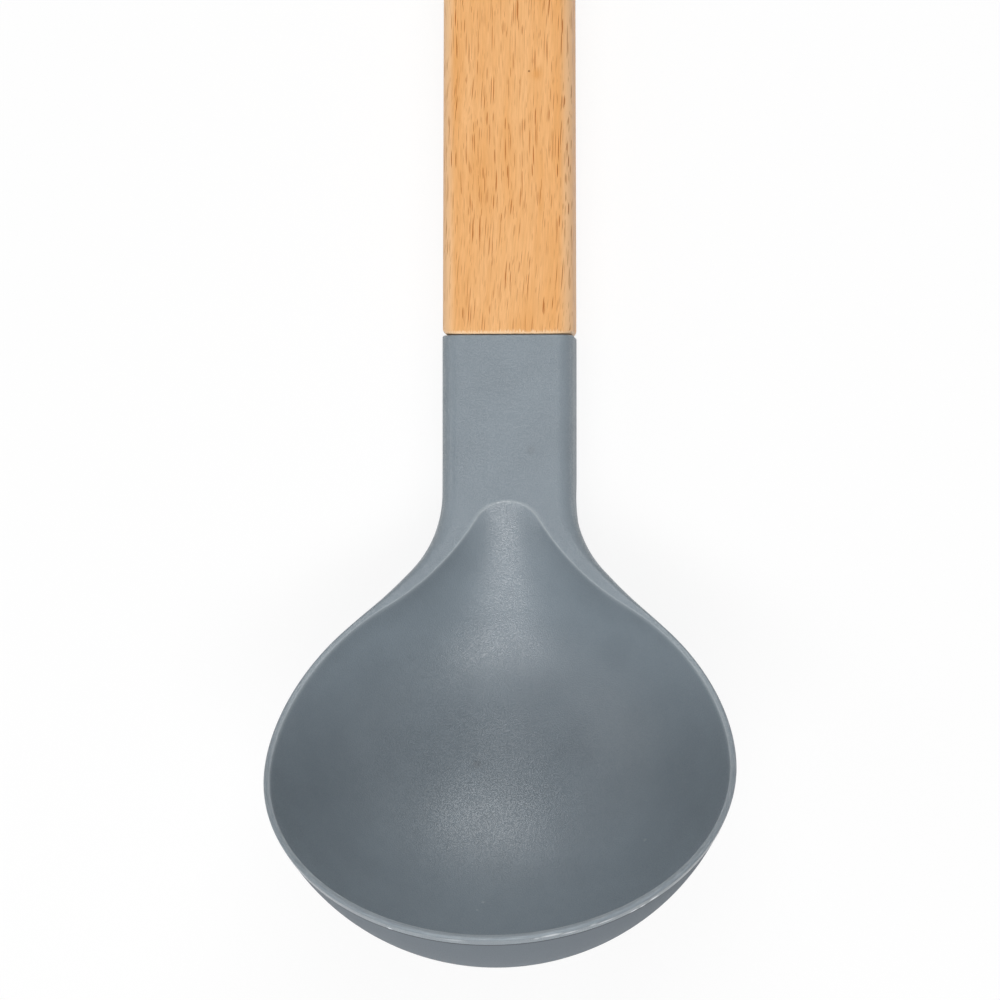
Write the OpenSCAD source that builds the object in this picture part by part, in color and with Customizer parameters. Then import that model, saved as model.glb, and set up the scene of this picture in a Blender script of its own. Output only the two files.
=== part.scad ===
// Soup ladle: a moulded bowl with a hollow neck, glued on the tenon of a wooden handle.
// The ladle lies on its back: +Z is up, the handle runs to +Y and the lip of the bowl is at -Y.
// Lengths are millimetres and angles are degrees.

/* [Bowl] */
// Outside diameter of the rim
bowl_d = 90; // [80:1:104]
// Outside depth of the bowl below its rim
bowl_depth = 33; // [29:0.5:37]
// Thickness of the bowl at its bottom
bowl_wall = 1.8; // [1.2:0.1:3]
// Thickness of the bowl at its rim
rim_wall = 1.5; // [1.2:0.1:2.4]
// Radius that breaks the inner edge of the rim
rim_edge_r = 0.5; // [0.2:0.1:0.6]
// Angle between the rim and the handle
rim_angle = 45.5; // [42:0.5:51]

/* [Shoulders] */
// Slope of the shoulders, from the handle's axis
shoulder_angle = 45.5; // [42:0.5:52]
// Concave radius where the neck widens into the shoulders
shoulder_r = 20.5; // [12:0.5:26]
// Length over which the square neck turns into the round bowl
blend_len = 32; // [20:1:44]

/* [Scoop] */
// Radius of the scoop's rounded tip
tip_r = 7; // [4:0.2:9]
// Concave radius of the scoop's edge below its tip
scoop_r = 52; // [40:1:64]
// Slope of the scoop's edge, from the handle's axis
scoop_angle = 57.5; // [53:0.5:62]

/* [Neck] */
// Width of the neck
neck_w = 25.6; // [22:0.2:30]
// Thickness of the neck
neck_t = 15.6; // [13.4:0.2:18]
// Length from the joint with the handle to the tip of the scoop
neck_len = 32; // [24:0.5:44]
// Radius of the long edges of the neck
neck_edge_r = 3.2; // [2.4:0.1:5]
// Bevel round the mouth of the neck
mouth_bevel = 0.4; // [0.1:0.1:1]
// Wall round the socket
socket_wall = 2.6; // [1.8:0.1:3.4]
// Solid floor between the socket and the tip of the scoop
socket_floor = 5.5; // [3:0.5:9]
// Radius of the long inside corners of the socket
socket_corner_r = 2; // [0.8:0.1:3]

/* [Handle] */
// Length of the handle that shows beyond the neck
handle_len = 200; // [120:1:260]
// How far the neck stands proud of the handle, at both sides and in front
handle_step = 0.2; // [0.1:0.05:1]
// How much narrower the handle is at its far end
handle_taper = 1; // [0:0.1:3]
// Bevel where the handle meets the neck
joint_bevel = 0.5; // [0.1:0.1:1]
// Corner radius of the handle's far end, seen from the front
end_r = 10; // [6:0.5:10.5]
// Diameter of the hanging hole
hole_d = 6; // [4:0.5:9]
// Distance from the far end to the middle of the hanging hole
hole_inset = 14; // [11:0.5:24]
// Bevel round both ends of the hanging hole
hole_bevel = 0.8; // [0.2:0.1:1.5]

/* [Glue] */
// Thickness of the glue film round the tenon
glue_gap = 0.2; // [0.1:0.05:0.4]
// Thickness of the glue pad at the end of the tenon
glue_pad = 1; // [0.5:0.1:2]

/* [Hidden] */

// Steps of the smooth surfaces: across the back in three runs, then the edge, the land, the rim and the scoop
back_flat_steps = 4;
back_corner_steps = 5;
back_side_steps = 3;
edge_steps = 3;
land_steps = 2;
rim_steps = 2;
scoop_steps = 12;
// Steps along the shoulders and the bowl, and round the front half of the bowl
row_steps = 22;
fan_steps = 24;
// Rows crowd towards the tip of the scoop by this power
row_power = 1.6;
// Steps of a rounded corner on the handle and in the socket
corner_steps = 6;
// Steps round the handle's far end
end_steps = 6;
// Steps round the hanging hole
hole_steps = 48;
// Part of the blend that lies on the neck, beyond the tip of the scoop
blend_on_neck = 1 / 6;
// Largest corner radius of a ring of the handle, as a part of its smaller side
ring_corner = 0.45;
// Overlap of a cutting shape beyond the face that it cuts
cut = 1;

// Outside and inside of the bowl are spheres through the rim: radius, and height of the centre above the rim
rim_r = bowl_d / 2;
out_r = (rim_r * rim_r + bowl_depth * bowl_depth) / (2 * bowl_depth);
out_rise = out_r - bowl_depth;
in_rim_r = rim_r - rim_wall;
in_depth = bowl_depth - bowl_wall;
in_r = (in_rim_r * in_rim_r + in_depth * in_depth) / (2 * in_depth);
in_rise = in_r - in_depth;

// The rim follows the neck's front, then an arc that leaves the bowl's back level with the neck's back
bend_r = (out_r - neck_t - out_rise * cos(rim_angle)) / (1 - cos(rim_angle));
bend_len = bend_r * rim_angle * PI / 180;
bend_z = neck_t + bend_r;
rim_y = -neck_len - bend_r * sin(rim_angle);
rim_z = bend_z - bend_r * cos(rim_angle);
out_y = rim_y + out_rise * sin(rim_angle);
out_z = rim_z + out_rise * cos(rim_angle);
in_y = rim_y + in_rise * sin(rim_angle);
in_z = rim_z + in_rise * cos(rim_angle);

// Angle of the arc where the flat back meets the bowl
back_turn = atan((-neck_len - out_y) / bend_z);
// The scoop's floor runs straight from its tip until it touches the inside of the bowl
tip_reach = norm([in_y + neck_len, in_z - neck_t]);
ramp_angle = asin(in_r / tip_reach) - atan2(in_z - neck_t, -in_y - neck_len);
ramp_len = sqrt(tip_reach * tip_reach - in_r * in_r);
ramp_turn = atan(ramp_len * cos(ramp_angle) / (bend_r + ramp_len * sin(ramp_angle)));

// Outer outline on the unrolled rim: circle, tangent line, concave arc, straight neck
arm_x = neck_w / 2 + shoulder_r;
arm_y = (rim_r + shoulder_r - arm_x * cos(shoulder_angle)) / sin(shoulder_angle);
// Inner outline: circle, tangent line, concave arc, round tip
tip_y = bend_len - tip_r;
hip_x = (in_rim_r + scoop_r) * cos(scoop_angle);
hip_y = (in_rim_r + scoop_r) * sin(scoop_angle);
hip_mid = hip_x * sin(scoop_angle) - (hip_y - tip_y) * cos(scoop_angle);
hip_far = hip_x * hip_x + (hip_y - tip_y) * (hip_y - tip_y) - (tip_r + scoop_r) * (tip_r + scoop_r);
hip_slide = hip_mid - sqrt(hip_mid * hip_mid - hip_far);
waist_x = hip_x - hip_slide * sin(scoop_angle);
waist_y = hip_y + hip_slide * cos(scoop_angle);
waist_top = tip_y + tip_r * (waist_y - tip_y) / (tip_r + scoop_r);

// Socket, tenon and handle take their sizes from the neck
socket_w = neck_w - 2 * socket_wall;
socket_t = neck_t - 2 * socket_wall;
socket_depth = neck_len - socket_floor;
tenon_w = socket_w - 2 * glue_gap;
tenon_t = socket_t - 2 * glue_gap;
tenon_len = socket_depth - glue_pad;
tenon_corner_r = socket_corner_r - glue_gap;
handle_w = neck_w - 2 * handle_step;
handle_t = neck_t - handle_step;
handle_edge_r = neck_edge_r - handle_step;
hole_y = handle_len - hole_inset;

// Rows of the head, as distances along the rim from the tip of the scoop:
// floor and mouth of the socket, bevelled mouth of the neck, start of the blend, then the bowl
blend_from = -blend_len * blend_on_neck;
rows = concat(
  [-socket_floor, -neck_len, -neck_len, -neck_len + mouth_bevel, blend_from, blend_from / 2],
  [for (i = [0:row_steps]) bend_len * pow(i / row_steps, row_power)]
);
row_count = len(rows);
tip_row = row_count - 1 - row_steps;
// Places in a half section: last point of the back, start of the inner edge, last point
back_steps = back_flat_steps + back_corner_steps + back_side_steps;
inner_start = back_steps + edge_steps + land_steps;
last_point = inner_start + rim_steps + scoop_steps;
strip_count = 2 * row_count + fan_steps - 1;

// The middle of the whole ladle's length lies at the origin
front_y = min(out_y - out_r, rim_y - rim_r * cos(rim_angle));
shift_y = -(handle_len + front_y) / 2;

function mix(a, b, k) = a + (b - a) * k;
function ease(k) = let (c = min(1, max(0, k))) c * c * (3 - 2 * c);
// Point of a rounded corner between a and b, drawn towards the corner c
function corner(a, c, b, k) =
  let (u = (1 - k) * (1 - k), v = sqrt(2) * k * (1 - k), w = k * k)
  (u * a + v * c + w * b) / (u + v + w);

// Half width of the outer outline at distance y from the bowl's middle
function outer_half(y) =
  y <= rim_r * sin(shoulder_angle) ? sqrt(rim_r * rim_r - y * y)
  : y <= arm_y - shoulder_r * sin(shoulder_angle) ? (rim_r - y * sin(shoulder_angle)) / cos(shoulder_angle)
  : y < arm_y ? arm_x - sqrt(shoulder_r * shoulder_r - (arm_y - y) * (arm_y - y))
  : neck_w / 2;
// Half width of the scoop's edge at distance y from the bowl's middle
function inner_half(y) =
  y <= in_rim_r * sin(scoop_angle) ? sqrt(in_rim_r * in_rim_r - y * y)
  : y <= waist_y - scoop_r * sin(scoop_angle) ? (in_rim_r - y * sin(scoop_angle)) / cos(scoop_angle)
  : y <= waist_top ? waist_x - sqrt(scoop_r * scoop_r - (y - waist_y) * (y - waist_y))
  : y < bend_len ? sqrt(max(0, tip_r * tip_r - (y - tip_y) * (y - tip_y)))
  : 0;

// Distance from the bend's axis to the far side of a circle in the middle plane, at a turn of the arc
function reach(turn, y, z, r) =
  let (along = (y + neck_len) * -sin(turn) + (z - bend_z) * -cos(turn),
       off = (y + neck_len) * cos(turn) - (z - bend_z) * sin(turn))
  along + sqrt(r * r - off * off);
function turn_at(q) = min(rim_angle, max(0, q / bend_r * 180 / PI));
// Depth of the back and of the scoop's floor below the rim
function outer_depth(q) =
  let (t = turn_at(q))
  (t <= back_turn ? bend_z / cos(t) : reach(t, out_y, out_z, out_r)) - bend_r;
function inner_depth(q) =
  let (t = turn_at(q))
  (t <= ramp_turn ? bend_r / (cos(t) - sin(t) * tan(ramp_angle)) : reach(t, in_y, in_z, in_r)) - bend_r;

// Back and side of a bar: flat, rounded corner, straight side
function bar_side(u, p, r, top, j) =
  let (turned = back_flat_steps + back_corner_steps)
  j <= back_flat_steps ? [(u - r) * j / back_flat_steps, p]
  : j <= turned ? corner([u - r, p], [u, p], [u, p - r], (j - back_flat_steps) / back_corner_steps)
  : [u, mix(p - r, top, (j - turned) / back_side_steps)];
// Arc through the middle of the back and the rim, cut off at a depth below the rim
function round_side(u, p, top, k) =
  let (r = (u * u + p * p) / (2 * p), a = acos((top - p + r) / r) * k)
  [r * sin(a), p - r + r * cos(a)];

// Half section of the head at a row: back, outer edge, land, inner edge, scoop.
// The two edges shrink where the land or the scoop is too small for their full radius.
function half_section(q, inset) =
  let (y = bend_len - q, u = outer_half(y), v = inner_half(y),
       p = outer_depth(q), d = q > 0 ? inner_depth(q) : 0,
       edge = min(neck_edge_r, (u - v) / 2),
       rim = min(rim_edge_r, v / 4, d / 2),
       round = ease((q - blend_from) / blend_len),
       back = [for (j = [0:back_steps])
         mix(bar_side(u, p, neck_edge_r, edge, j), round_side(u, p, edge, j / back_steps), round)],
       wall = d > 0 ? [for (j = [scoop_steps:-1:0]) round_side(v, d, rim, j / scoop_steps)]
         : [for (j = [0:scoop_steps]) [0, 0]],
       whole = concat(
         back,
         [for (j = [1:edge_steps]) corner(back[back_steps], [u, 0], [u - edge, 0], j / edge_steps)],
         [for (j = [1:land_steps]) mix([u - edge, 0], [v + rim, 0], j / land_steps)],
         [for (j = [1:rim_steps]) corner([v + rim, 0], [v, 0], wall[0], j / rim_steps)],
         [for (j = [1:scoop_steps]) wall[j]]))
  [for (s = whole) [s[0] * (u - inset) / u, mix(s[1], p / 2, 2 * inset / p)]];

// Half section of the socket, with as many points as the neck's half section
function socket_section() =
  let (u = socket_w / 2, p = socket_t, r = socket_corner_r)
  [for (j = [0:last_point])
    let (k = min(edge_steps, max(0, j - back_steps)) / edge_steps,
         m = min(1, max(0, j - back_steps - edge_steps) / land_steps),
         s = j <= back_steps ? bar_side(u, p, r, r, j) : corner([u, r], [u, 0], [u - r, 0], k))
    [s[0] * (1 - m), s[1] + socket_wall]];

// Place on the finished head of a point across, along and below the unrolled rim
function bent(x, y, p) =
  let (q = bend_len - y, t = turn_at(q), past = max(0, q - bend_len), before = min(0, q))
  [x, -neck_len - before - (bend_r + p) * sin(t) - past * cos(rim_angle),
   bend_z - (bend_r + p) * cos(t) + past * sin(rim_angle)];

// The first two rows line the socket, and the third is the bevelled mouth
sections = [for (i = [0:row_count - 1])
  i < 2 ? socket_section() : half_section(rows[i], i == 2 ? mouth_bevel : 0)];
function row_of(h) = h < row_count ? h : h < row_count + fan_steps - 1 ? row_count - 1 : strip_count - 1 - h;
function skin_point(h, j) =
  let (i = row_of(h), s = sections[i][j], y = bend_len - rows[i], a = 180 * (h - row_count + 1) / fan_steps)
  h < row_count ? bent(s[0], y, s[1])
  : h < row_count + fan_steps - 1 ? bent(s[0] * cos(a), -s[0] * sin(a), s[1])
  : bent(-s[0], y, s[1]);
// The two halves share the middle of the back and of the scoop, and above the scoop the middle of the front
function skin_index(h, j) =
  let (i = row_of(h), front = i <= tip_row && j >= inner_start, shared = j == 0 || j == last_point || front)
  (shared ? i : h) * (last_point + 1) + (front ? inner_start : j);

module head_skin() {
  strips = [for (h = [0:strip_count - 1]) for (j = [0:last_point]) skin_point(h, j)];
  floor_middle = [0, -socket_depth, neck_t / 2];
  sides = [for (h = [0:strip_count - 2]) for (j = [0:last_point - 1])
    let (a = skin_index(h, j), b = skin_index(h + 1, j),
         c = skin_index(h + 1, j + 1), d = skin_index(h, j + 1))
    for (f = [[a, b, c], [a, c, d]]) if (f[0] != f[1] && f[1] != f[2] && f[2] != f[0]) f];
  floor_edge = concat(
    [for (j = [0:inner_start]) skin_index(0, j)],
    [for (j = [inner_start - 1:-1:1]) skin_index(strip_count - 1, j)]);
  floor_faces = [for (k = [0:len(floor_edge) - 1])
    [len(strips), floor_edge[k], floor_edge[(k + 1) % len(floor_edge)]]];
  polyhedron(points = concat(strips, [floor_middle]), faces = concat(sides, floor_faces), convexity = 6);
}

// Outline of a bar with rounded corners, as points round its middle
function bar_outline(w, t, r) =
  [for (s = [0:3]) for (k = [0:corner_steps])
    let (a = 90 * (s + k / corner_steps), x = s == 0 || s == 3 ? 1 : -1, z = s < 2 ? 1 : -1)
    [x * (w / 2 - r) + r * cos(a), z * (t / 2 - r) + r * sin(a)]];

// Bar with rounded corners from the joint into the neck, centred on the neck
module plug(w, t, r, length, from) {
  translate([0, from, neck_t / 2])
    rotate([90, 0, 0])
      linear_extrude(length)
        polygon(bar_outline(w, t, r));
}

// Sizes of the handle along its length: distance, width, thickness
function handle_width(y) = handle_w - handle_taper * y / handle_len;
function handle_row(y, side_in, face_in) = [y, handle_width(y) - 2 * side_in, handle_t - 2 * face_in];
function face_in(d) =
  let (r = handle_edge_r)
  d < r ? r - sqrt(r * r - (r - d) * (r - d)) : 0;

module handle_bar() {
  stations = concat(
    [handle_row(0, joint_bevel, joint_bevel), handle_row(joint_bevel, 0, 0)],
    [for (k = [0:end_steps])
      let (a = 90 * k / end_steps)
      handle_row(handle_len - end_r * (1 - sin(a)), end_r * (1 - cos(a)), face_in(end_r * (1 - sin(a))))]);
  rings = [for (s = stations)
    let (r = min(handle_edge_r, ring_corner * min(s[1], s[2])))
    [for (p = bar_outline(s[1], s[2], r)) [p[0], s[0], p[1] + handle_t / 2]]];
  n = len(rings[0]);
  last = len(rings) - 1;
  walls = [for (i = [0:last - 1]) for (k = [0:n - 1])
    let (a = i * n + k, b = i * n + (k + 1) % n)
    for (f = [[a, b, b + n], [a, b + n, a + n]]) f];
  ends = [[for (k = [n - 1:-1:0]) k], [for (k = [0:n - 1]) last * n + k]];
  polyhedron(points = [for (r = rings) for (p = r) p], faces = concat(walls, ends), convexity = 4);
}

module hanging_hole() {
  translate([0, hole_y, -cut])
    cylinder(d = hole_d, h = handle_t + 2 * cut, $fn = hole_steps);
  for (side = [0, 1])
    translate([0, hole_y, side * handle_t])
      mirror([0, 0, side])
        translate([0, 0, -cut])
          cylinder(d1 = hole_d + 2 * (hole_bevel + cut), d2 = hole_d, h = hole_bevel + cut, $fn = hole_steps);
}

module ladle_head() {
  color([0.50, 0.53, 0.56])
    translate([0, shift_y, 0])
      head_skin();
}

module handle() {
  color([0.87, 0.66, 0.43])
    translate([0, shift_y, 0]) {
      difference() {
        handle_bar();
        hanging_hole();
      }
      plug(tenon_w, tenon_t, tenon_corner_r, tenon_len, 0);
    }
}

module adhesive_bond() {
  color([0.88, 0.82, 0.66])
    translate([0, shift_y, 0])
      difference() {
        plug(socket_w, socket_t, socket_corner_r, socket_depth, 0);
        plug(tenon_w, tenon_t, tenon_corner_r, tenon_len + cut, cut);
      }
}

ladle_head();
handle();
adhesive_bond();
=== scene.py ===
# %% [markdown]
# # Dressing a soup ladle
# The ladle comes as three plain solids in one frame: a moulded head, a wooden handle and the
# glue between them. This lesson gives them the surfaces that a buyer would see, and a studio.
# The solids stay the measure of everything: a new piece takes its place from them, repeats their
# sizes and keeps inside their box.

# %% Load the solids
import math

import bpy
import numpy as np
from mathutils import Matrix, Vector


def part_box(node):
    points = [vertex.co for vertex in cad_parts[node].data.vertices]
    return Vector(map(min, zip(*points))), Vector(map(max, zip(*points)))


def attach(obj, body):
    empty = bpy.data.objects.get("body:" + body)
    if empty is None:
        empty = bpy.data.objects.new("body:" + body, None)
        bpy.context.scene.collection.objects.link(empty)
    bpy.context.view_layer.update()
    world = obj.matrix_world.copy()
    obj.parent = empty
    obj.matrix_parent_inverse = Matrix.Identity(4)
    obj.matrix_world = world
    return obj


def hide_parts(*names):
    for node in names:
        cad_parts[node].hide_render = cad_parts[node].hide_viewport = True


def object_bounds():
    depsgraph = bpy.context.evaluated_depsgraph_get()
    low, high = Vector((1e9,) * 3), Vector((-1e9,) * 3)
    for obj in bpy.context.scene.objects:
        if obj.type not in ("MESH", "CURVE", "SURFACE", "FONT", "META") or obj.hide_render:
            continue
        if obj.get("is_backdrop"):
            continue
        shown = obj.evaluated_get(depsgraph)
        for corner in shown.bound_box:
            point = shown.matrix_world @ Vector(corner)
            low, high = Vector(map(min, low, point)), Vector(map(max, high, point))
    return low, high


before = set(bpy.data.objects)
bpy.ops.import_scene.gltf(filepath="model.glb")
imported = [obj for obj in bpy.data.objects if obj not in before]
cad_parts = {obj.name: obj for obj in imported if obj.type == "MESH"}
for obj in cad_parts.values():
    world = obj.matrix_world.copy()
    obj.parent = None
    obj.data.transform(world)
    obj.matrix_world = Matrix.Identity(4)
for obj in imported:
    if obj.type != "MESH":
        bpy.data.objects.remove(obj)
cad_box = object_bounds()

MM = 0.001


def add_object(name, data):
    """A new object in the scene."""
    made = bpy.data.objects.new(name, data)
    bpy.context.scene.collection.objects.link(made)
    return made


print("solids:", sorted(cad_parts))
print("box in mm:", [[round(c / MM, 2) for c in corner] for corner in cad_box])

# %% [markdown]
# ## Camera
# The photographer stands far above a ladle that lies on its back, a little to its right and a little
# towards the lip. So the bowl, which is nearer to the lens, slides to the left of the handle's axis.
# One number fixes the lens: how many pixels a millimetre of the neck takes. A long lens from far
# away keeps the neck and the lip at nearly the same scale, as in the photograph.

# %% Camera
IMAGE_SIDE = 1000
PIXELS_PER_MM = 5.192
SENSOR_WIDTH = 36.0
LENS_DISTANCE = 1500 * MM
LEAN_RIGHT = math.radians(3.776)
LEAN_TO_LIP = math.radians(2.253)
NECK_MIDDLE_Z = 8.3 * MM
AXIS_RIGHT = 1.852 * MM
MIDDLE_BELOW_JOINT = 31.493 * MM
joint_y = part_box("ladle_head")[1].y

right = Vector((math.cos(LEAN_RIGHT), 0, -math.sin(LEAN_RIGHT)))
towards_lens = Vector((math.sin(LEAN_RIGHT) * math.cos(LEAN_TO_LIP), -math.sin(LEAN_TO_LIP),
                       math.cos(LEAN_RIGHT) * math.cos(LEAN_TO_LIP)))
up = towards_lens.cross(right)
aim = Vector((0, joint_y - MIDDLE_BELOW_JOINT, NECK_MIDDLE_Z)) - AXIS_RIGHT * right

camera_data = bpy.data.cameras.new("camera")
camera_data.sensor_width = SENSOR_WIDTH
camera_data.lens = PIXELS_PER_MM / MM * SENSOR_WIDTH * LENS_DISTANCE / IMAGE_SIDE
camera = add_object("camera", camera_data)
turn = Matrix((right, up, towards_lens)).transposed().to_4x4()
camera.matrix_world = Matrix.Translation(aim + LENS_DISTANCE * towards_lens) @ turn
bpy.context.scene.camera = camera
print("lens in mm:", round(camera_data.lens, 1))

# %% [markdown]
# ## Light
# The photograph shows two soft highlights in the bowl, one on the slope below the neck and one in
# the lower half, and dark walls at the left and right. A soft box in front of the bowl makes the
# first, and one beyond the handle the second. Three weaker ones, at the left, overhead and at the
# right, set how light the walls, the neck and the wood are. A weak even sky fills the shadows.
# The view transform is Standard, so a colour comes out as it is written.

# %% Soft boxes
STAGE_MIDDLE = Vector((0, -0.09, 0.02))


def soft_box(name, azimuth, height, distance, size, power):
    """A lamp that looks at the middle of the stage. Azimuth 0 is to the right, 90 beyond the handle."""
    a, h = math.radians(azimuth), math.radians(height)
    way = Vector((math.cos(a) * math.cos(h), math.sin(a) * math.cos(h), math.sin(h)))
    data = bpy.data.lights.new(name, "AREA")
    data.shape = "RECTANGLE"
    data.size, data.size_y = size
    data.energy = power
    facing = way.to_track_quat("Z", "Y").to_matrix().to_4x4()
    add_object(name, data).matrix_world = Matrix.Translation(STAGE_MIDDLE + distance * way) @ facing


soft_box("soft_box_handle", azimuth=83, height=38, distance=0.9, size=(0.70, 0.52), power=3.72)
soft_box("soft_box_bowl", azimuth=272, height=52.3, distance=0.9, size=(0.78, 0.28), power=5.5)
soft_box("soft_box_left", azimuth=190, height=32, distance=1.0, size=(0.90, 0.60), power=1.8)
soft_box("soft_box_top", azimuth=90, height=80, distance=0.9, size=(0.50, 0.50), power=1.15)
soft_box("soft_box_right", azimuth=335, height=30, distance=1.0, size=(0.60, 0.40), power=0.2)
bpy.context.scene.view_settings.view_transform = "Standard"

# %% [markdown]
# ## Small helpers for node trees
# Shaders and shape trees are built from the same three moves: put a node in, set its sockets, and
# wire one to another. One helper does all three, and the others name the steps that come back
# often, so that a tree reads like a list of steps.


# %% Helpers for node trees
def wire(tree, node, sockets):
    """Sets a node's inputs: a name or number is paired with a value, or with an output to wire in."""
    for key, value in sockets.items():
        if isinstance(value, bpy.types.NodeSocket):
            tree.links.new(value, node.inputs[key])
        else:
            node.inputs[key].default_value = value


def put(tree, kind, sockets=None, **settings):
    """Adds a node with its settings, and wires its sockets."""
    node = tree.nodes.new(kind)
    for name, value in settings.items():
        setattr(node, name, value)
    wire(tree, node, sockets or {})
    return node


def calc(tree, operation, a, b=0.0, c=0.0):
    """One step of arithmetic."""
    return put(tree, "ShaderNodeMath", {0: a, 1: b, 2: c}, operation=operation).outputs[0]


def times(tree, a, b):
    """One number times another."""
    return calc(tree, "MULTIPLY", a, b)


def vector_calc(tree, operation, a, b):
    """One step of arithmetic on vectors."""
    return put(tree, "ShaderNodeVectorMath", {0: a, 1: b}, operation=operation).outputs[0]


def axes(tree, vector):
    """The x, y and z of a vector."""
    return put(tree, "ShaderNodeSeparateXYZ", {0: vector}).outputs


def vector_of(tree, x=0.0, y=0.0, z=0.0):
    """A vector from its x, y and z."""
    return put(tree, "ShaderNodeCombineXYZ", {0: x, 1: y, 2: z}).outputs[0]


def fade(tree, value, start, end, low=0.0, high=1.0):
    """A soft step from low to high while value goes from start to end."""
    sockets = {0: value, 1: start, 2: end, 3: low, 4: high}
    return put(tree, "ShaderNodeMapRange", sockets, interpolation_type="SMOOTHSTEP").outputs[0]


def blend(tree, share, a, b):
    """Mixes two colours."""
    return put(tree, "ShaderNodeMix", {0: share, 6: a, 7: b}, data_type="RGBA").outputs[2]


def tint(tree, colour, tone, mask, share=1.0):
    """Lays a tone over a colour where the mask is, with a share of its full strength."""
    return blend(tree, times(tree, mask, share), colour, tone)


def new_group(name, kind, inputs, outputs):
    """An empty node group with named sockets. Returns the tree and its two end nodes."""
    tree = bpy.data.node_groups.new(name, kind)
    for label, socket_kind, value in inputs:
        socket = tree.interface.new_socket(label, in_out="INPUT", socket_type=socket_kind)
        if value is not None:
            socket.default_value = value
    for label, socket_kind in outputs:
        tree.interface.new_socket(label, in_out="OUTPUT", socket_type=socket_kind)
    return tree, put(tree, "NodeGroupInput"), put(tree, "NodeGroupOutput")


helpers = (wire, put, calc, times, vector_calc, axes, vector_of, fade, blend, tint, new_group)
print("helpers:", [helper.__name__ for helper in helpers])

# %% [markdown]
# ## Floor and sky
# The shop picture stands on white. The floor is a pale sheet that takes the ladle's shadow, and
# most of what the lens sees of it is an even white glow, so the shadow stays faint. The sky glows
# white for the lens and for mirror rays, but lights the ladle only weakly.

# %% Floor and sky
FLOOR_HALF = 6.0
FLOOR_GLOW = 0.86
GLOW_STRENGTH = 1.02
SKY_FILL = 0.02
PAPER = (0.88, 0.88, 0.88, 1)
WHITE = (1, 1, 1, 1)


def seen_directly(tree):
    """1 for rays that show the background: from the lens, off a shiny surface or through glass."""
    path = put(tree, "ShaderNodeLightPath")
    shiny = calc(tree, "MAXIMUM", path.outputs["Is Glossy Ray"], path.outputs["Is Transmission Ray"])
    return calc(tree, "MAXIMUM", path.outputs["Is Camera Ray"], shiny)


floor_mesh = bpy.data.meshes.new("floor")
corners = [(x * FLOOR_HALF, y * FLOOR_HALF, 0) for x, y in ((-1, -1), (1, -1), (1, 1), (-1, 1))]
floor_mesh.from_pydata(corners, [], [(0, 1, 2, 3)])
floor = add_object("floor", floor_mesh)
floor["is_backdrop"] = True

paper = bpy.data.materials.new("white_paper")
paper.use_nodes = True
tree = paper.node_tree
tree.nodes.clear()
sheet = put(tree, "ShaderNodeBsdfDiffuse", {"Color": PAPER})
glow = put(tree, "ShaderNodeEmission", {"Color": WHITE, "Strength": GLOW_STRENGTH})
share = times(tree, seen_directly(tree), FLOOR_GLOW)
both = put(tree, "ShaderNodeMixShader", {0: share, 1: sheet.outputs[0], 2: glow.outputs[0]})
put(tree, "ShaderNodeOutputMaterial", {"Surface": both.outputs[0]})
floor_mesh.materials.append(paper)

sky = bpy.data.worlds.new("sky")
sky.use_nodes = True
bpy.context.scene.world = sky
tree = sky.node_tree
tree.nodes.clear()
strength = fade(tree, seen_directly(tree), 0, 1, SKY_FILL, 1.0)
backdrop = put(tree, "ShaderNodeBackground", {"Color": WHITE, "Strength": strength})
put(tree, "ShaderNodeOutputWorld", {"Surface": backdrop.outputs[0]})
print("floor at z = 0, sky fill", SKY_FILL)

# %% [markdown]
# ## Effects that the finishes share
# Moulded nylon, sanded beech and hard glue are different stuff, but three things recur: a fine grain
# that the hand can feel, a slow drift of tone, and small round marks. Each is a group with its own
# sizes, in millimetres, so that it can be placed in any material. A place is a point in the object's
# own coordinates, or one that a material has stretched or measured along the rim.

# %% Shared effects
FLOAT, VECTOR = "NodeSocketFloat", "NodeSocketVector"

grain_tree, given, result = new_group(
    "fine_grain", "ShaderNodeTree", [("Place", VECTOR, None), ("Size", FLOAT, 0.3)], [("Height", FLOAT)])
frequency = calc(grain_tree, "DIVIDE", 1.0, given.outputs["Size"])
noise = put(grain_tree, "ShaderNodeTexNoise",
            {"Vector": given.outputs["Place"], "Scale": frequency, "Detail": 0.0})
wire(grain_tree, result, {"Height": noise.outputs[0]})

drift_tree, given, result = new_group(
    "tone_drift", "ShaderNodeTree",
    [("Place", VECTOR, None), ("Across", FLOAT, 5.0), ("Along", FLOAT, 5.0),
     ("Low", FLOAT, 0.35), ("High", FLOAT, 0.65)],
    [("Tone", FLOAT)])
across = calc(drift_tree, "DIVIDE", 1.0, given.outputs["Across"])
along = calc(drift_tree, "DIVIDE", 1.0, given.outputs["Along"])
stretched = vector_calc(drift_tree, "MULTIPLY", given.outputs["Place"],
                        vector_of(drift_tree, across, along, across))
noise = put(drift_tree, "ShaderNodeTexNoise",
            {"Vector": stretched, "Scale": 1.0, "Detail": 3.0, "Roughness": 0.55})
tone = fade(drift_tree, noise.outputs[0], given.outputs["Low"], given.outputs["High"])
wire(drift_tree, result, {"Tone": tone})

mark_tree, given, result = new_group(
    "round_mark", "ShaderNodeTree",
    [("Place", VECTOR, None), ("Middle", VECTOR, None), ("Radius", FLOAT, 1.0), ("Softness", FLOAT, 0.5)],
    [("Mask", FLOAT)])
away = put(mark_tree, "ShaderNodeVectorMath", {0: given.outputs["Place"], 1: given.outputs["Middle"]},
           operation="DISTANCE").outputs["Value"]
inner = calc(mark_tree, "SUBTRACT", given.outputs["Radius"], given.outputs["Softness"])
outer = calc(mark_tree, "ADD", given.outputs["Radius"], given.outputs["Softness"])
wire(mark_tree, result, {"Mask": fade(mark_tree, away, inner, outer, 1.0, 0.0)})


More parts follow.
